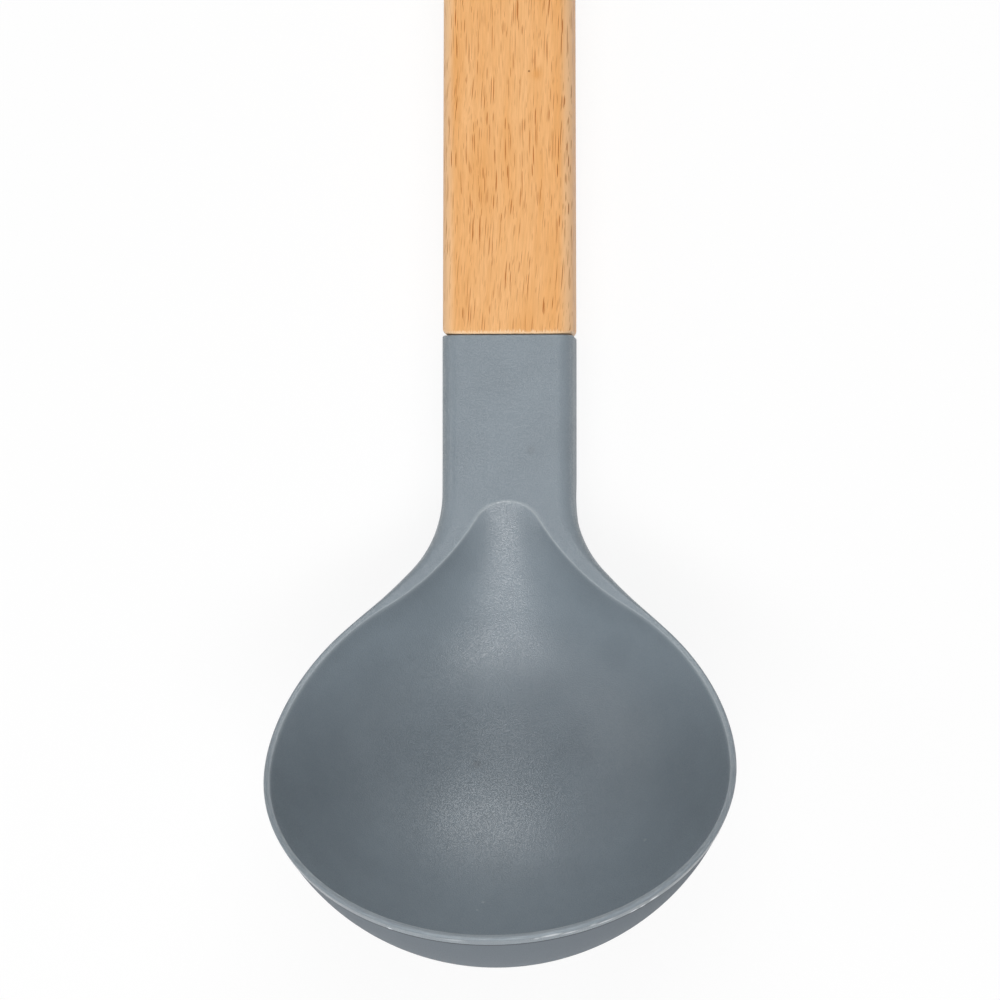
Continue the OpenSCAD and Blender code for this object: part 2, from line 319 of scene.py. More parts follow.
def use(tree, group, **sockets):
    """Places a shared effect in a material with its own values, and returns its only output."""
    named = {name.capitalize(): value for name, value in sockets.items()}
    return put(tree, "ShaderNodeGroup", named, node_tree=group).outputs[0]


print("shared effects:", [g.name for g in bpy.data.node_groups])

# %% [markdown]
# ## The nylon of the head
# The head is moulded from grey nylon in a spark-eroded mould. That leaves a fine grain, which is
# hardly seen on the flat neck but glints in the highlights. The rim's crest and band carry a painted
# highlight, partly in streaks, and the rim has painted glints of the mould flash and a pale nick. Just
# under the rim the mould parts in a fine groove, whose shade is painted as a thin dark line. The
# outside of the bowl is duller, and darker with painted shade. The gate left a dark spot in the bowl.
# The grain is a bump, because it is far finer than any mesh. Its glints are a clear coat on the crests
# of the grain: a coat's weight may change over the surface in an exported model, and a specular level
# may not.

# %% Nylon
NYLON = (0.216, 0.256, 0.289, 1)
NYLON_RIM_HIGHLIGHT = (0.40, 0.44, 0.47, 1)
CLOUD_DARK, CLOUD_LIGHT = 0.965, 1.03
MARK_SOFTNESS = 0.7
# Each mark has its place and radius in mm, its share of full strength and its tone.
NYLON_MARKS = [
    ((-6.65, -121.9, 3.1), 0.8, 0.28, 0.06), ((4.6, -61.9, 15.6), 0.8, 0.2, 0.12),
    ((-4.4, -148.4, 18.9), 0.28, 0.35, 0.55), ((-5.4, -149.9, 21.0), 0.22, 0.35, 0.55),
    ((26.5, -136.5, 18.6), 0.3, 0.3, 0.5)]


def new_material(name):
    """A material with an empty tree, its shader and its place in millimetres."""
    material = bpy.data.materials.new(name)
    material.use_nodes = True
    tree = material.node_tree
    tree.nodes.clear()
    shader = put(tree, "ShaderNodeBsdfPrincipled")
    put(tree, "ShaderNodeOutputMaterial", {"Surface": shader.outputs[0]})
    metres = put(tree, "ShaderNodeTexCoord").outputs["Object"]
    return material, tree, shader, vector_calc(tree, "MULTIPLY", metres, (1 / MM,) * 3)


def shaded(colour, factor):
    """A colour made lighter or darker."""
    return tuple(factor * c for c in colour[:3]) + (1,)


def cool_grey(tone):
    """A grey that leans to blue, as the nylon does."""
    return tone, 1.06 * tone, 1.1 * tone, 1


nylon, tree, shader, place = new_material("grey_nylon")
cloud = use(tree, drift_tree, place=place, across=9.0, along=9.0, low=0.3, high=0.7)
colour = blend(tree, cloud, shaded(NYLON, CLOUD_DARK), shaded(NYLON, CLOUD_LIGHT))
# Painted highlight: the scoop's rounded edge is drawn paler, where it catches the light.
crest_highlight = put(tree, "ShaderNodeAttribute", attribute_name="edge_highlight").outputs["Fac"]
colour = tint(tree, colour, NYLON_RIM_HIGHLIGHT, crest_highlight, share=0.6)
for middle, radius, share, tone in NYLON_MARKS:
    mark = use(tree, mark_tree, place=place, middle=middle, radius=radius, softness=MARK_SOFTNESS * radius)
    colour = tint(tree, colour, cool_grey(tone), mark, share)
print("marks in the nylon:", len(NYLON_MARKS))

# %% The rim of the nylon
NYLON_OUTSIDE_SHADE = (0.163, 0.188, 0.213, 1)
SEAM_SHADE = (0.06, 0.07, 0.08, 1)
GLINT_AND_NICK_PALE = (0.86, 0.89, 0.92, 1)
PARTING_DEPTH = 1.7
OUTSIDE_FADE = 0.15
SEAM_OFF, SEAM_CORE, SEAM_EDGE, SEAM_SHADE_SHARE = 0.05, 0.1, 0.4, 0.75
BAND_TOP, BAND_FOOT = (-2.6, -1.8), (1.2, 1.5)
BOWL_WHOLE_Y, BOWL_NONE_Y = -124.0, -101.0
DASH_HALF, DASH_SOFTNESS = 0.25, 0.6
STREAK_STRETCH = (0.12, 1, 1)
# The dashes are painted glints of the mould flash along the seam and the rim band, and a pale nick.
# Each has, in mm, its place along the rim from the middle of the lip, negative to the right,
# its depth below the rim and half its length, and then its share of full strength.
RIM_GLINTS_AND_NICKS = [
    (-28.9, 1.25, 0.8, 1.0), (-30.9, 1.2, 0.6, 0.9), (-33.6, 0.75, 1.0, 1.0), (-22.6, 0.3, 1.6, 0.5),
    (-20.0, 0.0, 0.6, 0.35), (-15.4, 0.3, 1.3, 0.5), (-11.8, -0.1, 1.7, 0.6), (-9.0, 0.15, 0.5, 0.4),
    (6.5, 0.2, 1.8, 0.3), (19.5, 1.25, 0.45, 1.0)]

rim_place = put(tree, "ShaderNodeAttribute", attribute_name="rim_place").outputs["Vector"]
depth = axes(tree, rim_place)[1]
outside = fade(tree, depth, PARTING_DEPTH - OUTSIDE_FADE, PARTING_DEPTH + OUTSIDE_FADE)
on_bowl = fade(tree, axes(tree, place)[1], BOWL_WHOLE_Y, BOWL_NONE_Y, 1.0, 0.0)
# Painted shade: the outside of the bowl below the parting line is darker and bluer, as it faces away from
# the lamps.
colour = tint(tree, colour, NYLON_OUTSIDE_SHADE, times(tree, outside, on_bowl))
# Painted shade: a thin dark line along the parting groove, where shade falls.
off_seam = calc(tree, "ABSOLUTE", calc(tree, "SUBTRACT", depth, PARTING_DEPTH + SEAM_OFF))
seam = fade(tree, off_seam, SEAM_CORE, SEAM_EDGE, SEAM_SHADE_SHARE, 0.0)
colour = tint(tree, colour, SEAM_SHADE, times(tree, seam, on_bowl))
# Painted highlight on the rim band, broken into fine streaks along the rim.
band = times(tree, fade(tree, depth, *BAND_TOP), fade(tree, depth, *BAND_FOOT, 1.0, 0.0))
band_highlight = use(tree, drift_tree, place=vector_calc(tree, "MULTIPLY", rim_place, STREAK_STRETCH),
              across=0.5, along=0.28, low=0.35, high=0.7)
colour = tint(tree, colour, NYLON_RIM_HIGHLIGHT, times(tree, band, band_highlight), share=0.3)
# Painted glints of the mould flash, where it catches the light, and one pale nick.
for mm_along, mm_below, half_length, share in RIM_GLINTS_AND_NICKS:
    squeeze = DASH_HALF / half_length
    glint_and_nick = use(tree, mark_tree, place=vector_calc(tree, "MULTIPLY", rim_place, (squeeze, 1, 1)),
                middle=(mm_along * squeeze, mm_below, 0),
                radius=DASH_HALF, softness=DASH_SOFTNESS * DASH_HALF)
    colour = tint(tree, colour, GLINT_AND_NICK_PALE, glint_and_nick, share)
print("scuffs on the rim:", len(RIM_GLINTS_AND_NICKS))

# %% The grain of the nylon
NECK_SHINY_AT, NECK_DULL_AT, NECK_DULLNESS, DULL_ROUGHNESS = -3.0, 1.0, 0.6, 0.4
VALLEY, CREST = 0.3, 0.7
VALLEY_ROUGH, CREST_ROUGH = 0.38, 0.26
GLINT_START, GLINT_FULL = 0.42, 0.66

grain = use(tree, grain_tree, place=place, size=0.23)
dull_neck = fade(tree, depth, NECK_SHINY_AT, NECK_DULL_AT, 0.0, NECK_DULLNESS)
dull = calc(tree, "MULTIPLY_ADD", on_bowl, calc(tree, "SUBTRACT", outside, dull_neck), dull_neck)
rough = fade(tree, grain, VALLEY, CREST, VALLEY_ROUGH, CREST_ROUGH)
glints = fade(tree, grain, GLINT_START, GLINT_FULL)
bump = put(tree, "ShaderNodeBump", {"Height": grain, "Strength": 1.0, "Distance": 0.04 * MM})
wire(tree, shader, {
    "Base Color": colour,
    "Roughness": calc(tree, "MULTIPLY_ADD", dull, DULL_ROUGHNESS, rough),
    "Specular IOR Level": 0.3,
    "Coat Weight": times(tree, glints, calc(tree, "SUBTRACT", 1.0, dull)),
    "Coat Roughness": 0.42,
    "Coat IOR": 1.5,
    "Normal": bump.outputs[0]})
print("nylon nodes:", len(tree.nodes))

# %% [markdown]
# ## The shape of the head
# The head is one skin over a rule. Think of the rim as a strip of paper: flat on the front of the
# neck, rolled over an arc, then flat again over the tilted bowl. On the unrolled strip, the outside
# is a circle with two shoulders that end in the neck, and the scoop is a circle with two flanks that
# end in a round tip. Across the strip, each row is a section: back, side, land and scoop.
# Subdividing a cage of a few points would be quicker, but then the bowl would not be round and the
# rim would not be even, so every row is worked out.

# %% Sizes of the head, in millimetres
RIM_R, BOWL_DEPTH, BOWL_WALL, RIM_WALL = 45.0, 33.0, 1.8, 1.5
RIM_ANGLE = math.radians(45.5)
SHOULDER_ANGLE, SHOULDER_R, BLEND_LEN = math.radians(45.5), 20.5, 32.0
TIP_R, SCOOP_R, SCOOP_ANGLE = 7.0, 52.0, math.radians(57.5)
NECK_W, NECK_T, NECK_LEN, NECK_EDGE_R = 25.6, 15.6, 32.0, 3.2
SOCKET_WALL, SOCKET_FLOOR, SOCKET_CORNER_R = 2.6, 5.5, 2.0
MOUTH_R = 0.4
RIM_EDGE_R = 0.5
JOINT_Y = joint_y / MM


def sphere_over(radius, depth):
    """A sphere through a round rim: its radius, and how high its middle is above the rim."""
    r = (radius ** 2 + depth ** 2) / (2 * depth)
    return r, r - depth


OUT_R, OUT_RISE = sphere_over(RIM_R, BOWL_DEPTH)
IN_RIM_R = RIM_R - RIM_WALL
IN_R, IN_RISE = sphere_over(IN_RIM_R, BOWL_DEPTH - BOWL_WALL)
SIN_RIM, COS_RIM = math.sin(RIM_ANGLE), math.cos(RIM_ANGLE)
BEND_R = (OUT_R - NECK_T - OUT_RISE * COS_RIM) / (1 - COS_RIM)
BEND_LEN = BEND_R * RIM_ANGLE
BEND_Z = NECK_T + BEND_R
RIM_Y, RIM_Z = -NECK_LEN - BEND_R * SIN_RIM, BEND_Z - BEND_R * COS_RIM
OUT_Y, OUT_Z = RIM_Y + OUT_RISE * SIN_RIM, RIM_Z + OUT_RISE * COS_RIM
IN_Y, IN_Z = RIM_Y + IN_RISE * SIN_RIM, RIM_Z + IN_RISE * COS_RIM
print("radius of the bend:", round(BEND_R, 2), "length of the bend:", round(BEND_LEN, 2))

# %% Outlines on the unrolled strip
ARM_X = NECK_W / 2 + SHOULDER_R
ARM_Y = (RIM_R + SHOULDER_R - ARM_X * math.cos(SHOULDER_ANGLE)) / math.sin(SHOULDER_ANGLE)
TIP_Y = BEND_LEN - TIP_R
HIP_X = (IN_RIM_R + SCOOP_R) * math.cos(SCOOP_ANGLE)
HIP_Y = (IN_RIM_R + SCOOP_R) * math.sin(SCOOP_ANGLE)
HIP_MID = HIP_X * math.sin(SCOOP_ANGLE) - (HIP_Y - TIP_Y) * math.cos(SCOOP_ANGLE)
HIP_FAR = HIP_X ** 2 + (HIP_Y - TIP_Y) ** 2 - (TIP_R + SCOOP_R) ** 2
HIP_SLIDE = HIP_MID - math.sqrt(HIP_MID ** 2 - HIP_FAR)
WAIST_X = HIP_X - HIP_SLIDE * math.sin(SCOOP_ANGLE)
WAIST_Y = HIP_Y + HIP_SLIDE * math.cos(SCOOP_ANGLE)
WAIST_TOP = TIP_Y + TIP_R * (WAIST_Y - TIP_Y) / (TIP_R + SCOOP_R)


def outer_half(y):
    """Half width of the outside, at a distance from the bowl's middle."""
    if y <= RIM_R * math.sin(SHOULDER_ANGLE):
        return math.sqrt(RIM_R ** 2 - y ** 2)
    if y <= ARM_Y - SHOULDER_R * math.sin(SHOULDER_ANGLE):
        return (RIM_R - y * math.sin(SHOULDER_ANGLE)) / math.cos(SHOULDER_ANGLE)
    if y < ARM_Y:
        return ARM_X - math.sqrt(SHOULDER_R ** 2 - (ARM_Y - y) ** 2)
    return NECK_W / 2


def scoop_half(y):
    """Half width of the scoop, at a distance from the bowl's middle."""
    if y <= IN_RIM_R * math.sin(SCOOP_ANGLE):
        return math.sqrt(IN_RIM_R ** 2 - y ** 2)
    if y <= WAIST_Y - SCOOP_R * math.sin(SCOOP_ANGLE):
        return (IN_RIM_R - y * math.sin(SCOOP_ANGLE)) / math.cos(SCOOP_ANGLE)
    if y <= WAIST_TOP:
        return WAIST_X - math.sqrt(SCOOP_R ** 2 - (y - WAIST_Y) ** 2)
    return math.sqrt(max(0.0, TIP_R ** 2 - (y - TIP_Y) ** 2)) if y < BEND_LEN else 0.0


print("half widths at the bowl's middle:", outer_half(0.0), "outside,", scoop_half(0.0), "scoop")

# %% [markdown]
# Depths are measured square to the strip. They depend on how far down the strip a row is, counted
# from the tip of the scoop: negative on the neck, and up to the length of the bend at the bowl.

# %% Depths below the strip
BACK_TURN = math.atan((-NECK_LEN - OUT_Y) / BEND_Z)
TIP_REACH = math.hypot(IN_Y + NECK_LEN, IN_Z - NECK_T)
RAMP = math.asin(IN_R / TIP_REACH) - math.atan2(IN_Z - NECK_T, -IN_Y - NECK_LEN)
RAMP_LEN = math.sqrt(TIP_REACH ** 2 - IN_R ** 2)
RAMP_TURN = math.atan(RAMP_LEN * math.cos(RAMP) / (BEND_R + RAMP_LEN * math.sin(RAMP)))


def turn_at(down):
    """How far the strip has turned at a distance from the scoop's tip."""
    return min(RIM_ANGLE, max(0.0, down / BEND_R))


def reach(angle, y, z, radius):
    """Distance from the bend's axis to the far side of a circle in the middle plane."""
    along = -(y + NECK_LEN) * math.sin(angle) - (z - BEND_Z) * math.cos(angle)
    off = (y + NECK_LEN) * math.cos(angle) - (z - BEND_Z) * math.sin(angle)
    return along + math.sqrt(radius * radius - off * off)


def back_depth(down):
    """Depth of the back: flat under the neck, then round."""
    angle = turn_at(down)
    if angle <= BACK_TURN:
        return BEND_Z / math.cos(angle) - BEND_R
    return reach(angle, OUT_Y, OUT_Z, OUT_R) - BEND_R


def floor_depth(down):
    """Depth of the scoop: a straight slope from the tip until it touches the round bowl."""
    angle = turn_at(down)
    if down <= 0:
        return down * math.tan(RAMP)
    if angle <= RAMP_TURN:
        return BEND_R / (math.cos(angle) - math.sin(angle) * math.tan(RAMP)) - BEND_R
    return reach(angle, IN_Y, IN_Z, IN_R) - BEND_R


print("slope of the scoop:", round(math.degrees(RAMP), 1), "degrees")
print("depth of the back at the bowl:", round(back_depth(BEND_LEN), 2))

# %% [markdown]
# A row has four runs. The back goes from the middle of the back to the side, and carries the parting
# line, a fine groove 1.7 mm under the rim with a step of a tenth of a millimetre. A rounded outer
# edge follows, then the flat land, and last the scoop. The scoop is a height that is negative outside
# of its edge: rounding off that sign change gives one even, soft edge all round, also across the tip.

# %% Corners and arcs of a row
BACK_STEPS, EDGE_STEPS, LAND_STEPS, CREST_STEPS, WALL_STEPS = 44, 10, 6, 14, 44
FLAT_END, CORNER_END, SIDE_END = 4, 9, 12
SEAM_REACH, SEAM_POINTS, LAST_POINTS = 4, 17, 7
GROOVE_DEPTH, GROOVE_HALF = 0.16, 0.18


def steps(count):
    """Shares of a run, from the end of its first step to 1."""
    return np.arange(1, count + 1) / count


def soft_step(share):
    """0 to 1 with level ends."""
    c = np.clip(share, 0, 1)
    return c * c * (3 - 2 * c)


def round_corner(start, corner, end, share):
    """Points of a rounded corner from start to end, drawn towards the corner."""
    k = np.asarray(share)[:, None]
    a, b, c = (1 - k) ** 2, math.sqrt(2) * k * (1 - k), k ** 2
    return (a * np.array(start) + b * np.array(corner) + c * np.array(end)) / (a + b + c)


def bar_side(half, thick, radius, top, places):
    """Back and side of a bar: flat, rounded corner, straight side."""
    flat = np.stack([(half - radius) * places / FLAT_END, np.full_like(places, thick)], 1)
    share = np.clip((places - FLAT_END) / (CORNER_END - FLAT_END), 0, 1)
    corner = round_corner((half - radius, thick), (half, thick), (half, thick - radius), share)
    climb = (top - thick + radius) * (places - CORNER_END) / (SIDE_END - CORNER_END)
    side = np.stack([np.full_like(places, half), (thick - radius) + climb], 1)
    past_flat = np.where((places <= CORNER_END)[:, None], corner, side)
    return np.where((places <= FLAT_END)[:, None], flat, past_flat)


def round_back(half, thick, top):
    """Radius and angle of the arc from the middle of the back to the side, which ends at a depth."""
    radius = (half * half + thick * thick) / (2 * thick)
    return radius, math.acos((top - thick + radius) / radius)


def round_side(half, thick, top, places):
    """That arc's points."""
    radius, whole = round_back(half, thick, top)
    a = whole * places / SIDE_END
    return np.stack([radius * np.sin(a), thick - radius + radius * np.cos(a)], 1)


def back_places(mm_each):
    """Places from 0 in the middle of the back to the end of the side, crowded at the parting line."""
    off_seam = GROOVE_HALF * np.linspace(SEAM_REACH, -SEAM_REACH, SEAM_POINTS)
    seam = SIDE_END - (PARTING_DEPTH + off_seam) / mm_each
    before = np.linspace(0, seam[0], BACK_STEPS)[:-1]
    after = np.linspace(seam[-1], SIDE_END, LAST_POINTS)[1:]
    return np.concatenate([before, seam, after])


print("points on the back run:", len(back_places(1.0)))

# %% The back run and the scoop run
BLEND_START = BLEND_LEN / 6
PARTING_STEP, PARTING_RAMP, PARTING_FADE = 0.10, 0.2, 14.0
KNEE_SHARE = 0.985
NUDGE, TINY = 0.01, 1e-3
LEAST_HALF, LEAST_SLOPE = 0.6, 0.1
CREST_SPREAD, CREST_OUT, CREST_IN = 1.6, 0.9, 0.5
HIGHLIGHT_HALF = 0.22


def back_run(down, half, edge):
    """Points from the middle of the back to the side, and how far each one is below the outer edge."""
    thick = back_depth(down)
    roundness = soft_step((down + BLEND_START) / BLEND_LEN)
    radius, whole = round_back(half, thick, edge)
    mm_straight = (thick - NECK_EDGE_R - edge) / (SIDE_END - CORNER_END)
    places = back_places((1 - roundness) * mm_straight + roundness * radius * whole / SIDE_END)
    straight = bar_side(half, thick, NECK_EDGE_R, edge, places)
    points = (1 - roundness) * straight + roundness * round_side(half, thick, edge, places)
    step = np.gradient(points, axis=0)
    outward = np.stack([-step[:, 1], step[:, 0]], 1) / np.linalg.norm(step, axis=1)[:, None]
    lengths = np.linalg.norm(np.diff(points, axis=0), axis=1)
    below = np.concatenate([np.cumsum(lengths[::-1])[::-1], [0]])
    faded = 1 - soft_step(below / PARTING_FADE)
    inset = PARTING_STEP * soft_step((below - PARTING_DEPTH) / PARTING_RAMP) * faded
    groove = GROOVE_DEPTH * np.exp(-((below - PARTING_DEPTH) / GROOVE_HALF) ** 2)
    return points - (inset + groove)[:, None] * outward, below


def scoop_height(x, down):
    """Depth of the scoop at a point of the strip, negative outside, and the radius of its round section."""
    deep, hollow = floor_depth(down), scoop_half(BEND_LEN - down)
    inside = hollow > 0 and deep > 0
    radius = (hollow * hollow + deep * deep) / (2 * deep) if inside else TIP_R / math.tan(RAMP)
    knee = KNEE_SHARE * radius
    steep = knee / math.sqrt(radius * radius - knee * knee)
    near = np.minimum(x, knee)
    return deep - radius + np.sqrt(radius * radius - near ** 2) - steep * np.maximum(0, x - knee), radius


def scoop_run(down, half, hollow, edge):
    """Points from the outer edge over the land to the scoop's middle, and each one's painted highlight at
    the scoop's edge.
    """
    at_rim = max(hollow, TINY)
    across = scoop_height(at_rim + NUDGE, down)[0] - scoop_height(at_rim - NUDGE, down)[0]
    along = scoop_height(at_rim, down + NUDGE)[0] - scoop_height(at_rim, down - NUDGE)[0]
    slope = math.hypot(across, along) / (2 * NUDGE)
    half_turn = math.atan(slope) / 2
    soft = 2 * RIM_EDGE_R * (1 / math.cos(half_turn) - 1) / math.cos(half_turn)
    crest = max(hollow, LEAST_HALF)
    spread = CREST_SPREAD * RIM_EDGE_R * math.tan(half_turn)
    start = crest + min(spread, CREST_OUT * (half - edge - hollow))
    stop = crest - min(spread, CREST_IN * crest)
    radius = scoop_height(0.0, down)[1]
    x = np.concatenate([
        np.linspace(half - edge, start, LAND_STEPS + 1)[1:],
        np.linspace(start, stop, CREST_STEPS + 1)[1:],
        radius * np.sin(math.asin(min(1.0, stop / radius)) * (1 - steps(WALL_STEPS)))])
    height = scoop_height(x, down)[0]
    points = np.stack([x, (height + np.sqrt(height * height + soft * soft)) / 2], 1)
    return points, np.exp(-(height / max(slope, LEAST_SLOPE) / HIGHLIGHT_HALF) ** 2)


ratios = [scoop_half(BEND_LEN - d) / scoop_height(0.0, d)[1] for d in np.linspace(NUDGE, BEND_LEN, 60)]
print("scoop's half width, at most, as a share of its radius:", round(max(ratios), 3))

# %% Whole rows
SKIN_INSET = 0.14
FAR_BELOW = 99.0


def head_row(down):
    """Half a section: points across and below the strip, each one's painted highlight and how far below the
    rim it is.
    """
    half, hollow = outer_half(BEND_LEN - down) - SKIN_INSET, scoop_half(BEND_LEN - down)
    edge = min(NECK_EDGE_R, (half - hollow) / 2)
    back, below = back_run(down, half, edge)
    outer_edge = round_corner(back[-1], (half, 0), (half - edge, 0), steps(EDGE_STEPS))
    top, crest_highlight = scoop_run(down, half, hollow, edge)
    points = np.concatenate([back, outer_edge, top])
    row_highlight = np.concatenate([np.zeros(len(back) + EDGE_STEPS), crest_highlight])
    above = np.linalg.norm(np.diff(points[len(back) - 1:], axis=0), axis=1).cumsum()
    return points, row_highlight, np.concatenate([below, -above])


def socket_row():
    """Half a section of the socket, with as many points as any other row."""
    half, thick, radius = (NECK_W - 2 * SOCKET_WALL) / 2, NECK_T - 2 * SOCKET_WALL, SOCKET_CORNER_R
    back = bar_side(half, thick, radius, radius, back_places(1.0))
    edge = round_corner((half, radius), (half, 0), (half - radius, 0), steps(EDGE_STEPS))
    shares = steps(LAND_STEPS + CREST_STEPS + WALL_STEPS)
    land = np.stack([(half - radius) * (1 - shares), np.zeros(len(shares))], 1)
    points = np.concatenate([back, edge, land]) + (0, SOCKET_WALL)
    return points, np.zeros(len(points)), np.full(len(points), FAR_BELOW)


def drawn_in(points, down, inset):
    """A row that is smaller all round, for the rounded mouth of the neck."""
    half, thick = outer_half(BEND_LEN - down), back_depth(down)
    share = 2 * inset / thick
    x = points[:, 0] * (half - inset) / half
    return np.stack([x, points[:, 1] * (1 - share) + thick / 2 * share], 1)


print("points in a row:", len(head_row(TIP_R)[0]))

# %% [markdown]
# The rows follow each other from the socket's floor to its mouth, round the mouth, and down the neck
# and the slope to the middle of the bowl, close together where the scoop's tip turns. The front half
# of the bowl is the last row, spun about the bowl's axis. The other half of the head is the mirror
# image, so the skin closes on itself.

# %% Rows and strips of the head
MOUTH_ROWS, NECK_ROWS, TIP_ROWS, BOWL_ROWS, FAN_STEPS = 5, 26, 10, 110, 120
BELOW_MOUTH, ABOVE_TIP = 1.2, 1.0
QUARTER_RIM = RIM_R * math.pi / 2

rows = [(-SOCKET_FLOOR, *socket_row()), (-NECK_LEN, *socket_row())]
for a in np.radians(np.linspace(0, 90, MOUTH_ROWS)):
    down = -NECK_LEN + MOUTH_R * (1 - math.cos(a))
    points, row_highlight, depths = head_row(down)
    rows.append((down, drawn_in(points, down, MOUTH_R * (1 - math.sin(a))), row_highlight, depths))
distances = np.concatenate([
    np.linspace(-NECK_LEN + BELOW_MOUTH, -ABOVE_TIP, NECK_ROWS),
    -(np.arange(TIP_ROWS - 1, 0, -1) / TIP_ROWS) ** 2, [0.0],
    BEND_LEN * steps(BOWL_ROWS) ** 2])
rows += [(down, *head_row(down)) for down in distances]
count, width = len(rows), len(rows[0][1])
strips, owner, along_rim = [], [], []


def add_strip(row, mm_along, x, y):
    """Rolls a row up into the frame, from its points across and along the unrolled strip."""
    deep, down = rows[row][1][:, 1], BEND_LEN - y
    turned = np.clip(down / BEND_R, 0, RIM_ANGLE)
    past, before = np.maximum(0, down - BEND_LEN), np.minimum(0, down)
    frame_y = JOINT_Y - NECK_LEN - before - (BEND_R + deep) * np.sin(turned) - past * COS_RIM
    frame_z = BEND_Z - (BEND_R + deep) * np.cos(turned) + past * SIN_RIM
    strips.append(np.stack([x, frame_y, frame_z], -1))
    owner.append(row)
    along_rim.append(mm_along)


for row in range(count):
    down, points = rows[row][:2]
    add_strip(row, down - BEND_LEN - QUARTER_RIM, points[:, 0], np.full(width, BEND_LEN - down))
for a in math.pi * np.arange(1, FAN_STEPS) / FAN_STEPS:
    out = rows[-1][1][:, 0]
    add_strip(count - 1, RIM_R * (a - math.pi / 2), out * math.cos(a), -out * math.sin(a))
for row in range(count - 1, -1, -1):
    down, points = rows[row][:2]
    add_strip(row, BEND_LEN + QUARTER_RIM - down, -points[:, 0], np.full(width, BEND_LEN - down))
print("rows:", count, "strips:", len(strips))

# %% Faces of the head
owner = np.array(owner)
number = np.arange(len(strips))[:, None] * width + np.arange(width)[None, :]
number[:, 0] = owner * width
number[:, -1] = owner * width + width - 1
socket_middle = [[0, JOINT_Y - NECK_LEN + SOCKET_FLOOR, NECK_T / 2]]
points = np.concatenate(strips + [np.array(socket_middle)])
floor_point = len(points) - 1

faces = []
for here, after in zip(number[:-1], number[1:]):
    for j in range(width - 1):
        ring = [here[j], after[j], after[j + 1], here[j + 1]]
        face = [int(n) for k, n in enumerate(ring) if n != ring[k - 1]]
        if len(face) > 2:
            faces.append(face)
loop = [int(n) for n in number[0]] + [int(n) for n in number[-1][-2:0:-1]]
faces += [[floor_point, n, loop[k - len(loop) + 1]] for k, n in enumerate(loop)]


def compact(points, faces, *values):
    """Leaves out the points that no face uses."""
    used = np.unique(np.concatenate([np.array(f) for f in faces]))
    place = np.full(len(points), -1)
    place[used] = np.arange(len(used))
    return points[used], [[int(place[n]) for n in f] for f in faces], [v[used] for v in values]


highlight_all = np.concatenate([rows[row][2] for row in owner] + [[0.0]])
rim_all = [(mm, below, 0) for row, mm in zip(owner, along_rim) for below in rows[row][3]]
rim_all = np.array(rim_all + [(0, FAR_BELOW, 0)])
points, faces, (highlight_all, rim_all) = compact(points, faces, highlight_all, rim_all)
print("head:", len(points), "points,", len(faces), "faces")

# %% The head as a mesh
SHARP_HEAD_EDGE = math.radians(60)

head_mesh = bpy.data.meshes.new("moulded_head")
head_mesh.from_pydata((points * MM).tolist(), [], faces)
head_mesh.materials.append(nylon)
head_mesh.shade_smooth()
head_mesh.set_sharp_from_angle(angle=SHARP_HEAD_EDGE)
head_mesh.attributes.new("edge_highlight", "FLOAT", "POINT").data.foreach_set("value", highlight_all)
head_mesh.attributes.new("rim_place", "FLOAT_VECTOR", "POINT").data.foreach_set("vector", rim_all.ravel())
head = add_object("moulded_head", head_mesh)
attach(head, "root")
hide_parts("ladle_head")
print("triangles of the head:", sum(len(face) - 2 for face in faces))

# %% [markdown]
# ## The beech of the handle
# Beech has a warm, even ground with short dark flecks, the edges of its rays, all lying along the
# grain. An image would repeat and blur, so each fleck is worked out: space is cut into long cells,
# and each cell holds one spindle with its own length, width and depth of colour. A spindle is twice
# as deep as it is wide, so the flecks show as dashes on all four long faces and as dots on the end.
# The rounded edges carry a painted pale reflection, the saw left a pale ragged line at the joint, and
# the front has one warm streak and a small knot.

# %% One layer of flecks
WIDTH_SPREAD, LENGTH_SPREAD, COLOUR_SPREAD = (0.55, 1.25), (0.5, 1.3), (0.5, 1.0)
DEEP_PER_WIDE = 2.0
FLECK_CORE, FLECK_EDGE = 0.4, 1.2

fleck_tree, given, result = new_group(
    "ray_flecks", "ShaderNodeTree",
    [("Place", VECTOR, None), ("Spacing", VECTOR, (0.3, 9.0, 0.5)),
     ("Width", FLOAT, 0.1), ("Length", FLOAT, 2.0)],
    [("Mask", FLOAT)])
cell = vector_calc(fleck_tree, "DIVIDE", given.outputs["Place"], given.outputs["Spacing"])
cells = put(fleck_tree, "ShaderNodeTexVoronoi", {"Vector": cell, "Scale": 1.0, "Randomness": 1.0},
            feature="F1", voronoi_dimensions="3D")
off = vector_calc(fleck_tree, "SUBTRACT", cell, cells.outputs["Position"])
off = axes(fleck_tree, vector_calc(fleck_tree, "MULTIPLY", off, given.outputs["Spacing"]))
chance = put(fleck_tree, "ShaderNodeSeparateColor", {0: cells.outputs["Color"]}).outputs


def squared_share(value, half):
    """A distance as a share of half a size, squared."""
    return calc(fleck_tree, "POWER", calc(fleck_tree, "DIVIDE", value, half), 2.0)


half_width = times(fleck_tree, given.outputs["Width"], fade(fleck_tree, chance[0], 0, 1, *WIDTH_SPREAD))
half_length = times(fleck_tree, given.outputs["Length"], fade(fleck_tree, chance[1], 0, 1, *LENGTH_SPREAD))
half_deep = times(fleck_tree, half_width, DEEP_PER_WIDE)
far = calc(fleck_tree, "ADD", squared_share(off[0], half_width), squared_share(off[2], half_deep))
far = calc(fleck_tree, "ADD", far, squared_share(off[1], half_length))
spindle = fade(fleck_tree, far, FLECK_CORE, FLECK_EDGE, 1.0, 0.0)
strength = fade(fleck_tree, chance[2], 0, 1, *COLOUR_SPREAD)
wire(fleck_tree, result, {"Mask": times(fleck_tree, spindle, strength)})
print("fleck nodes:", len(fleck_tree.nodes))

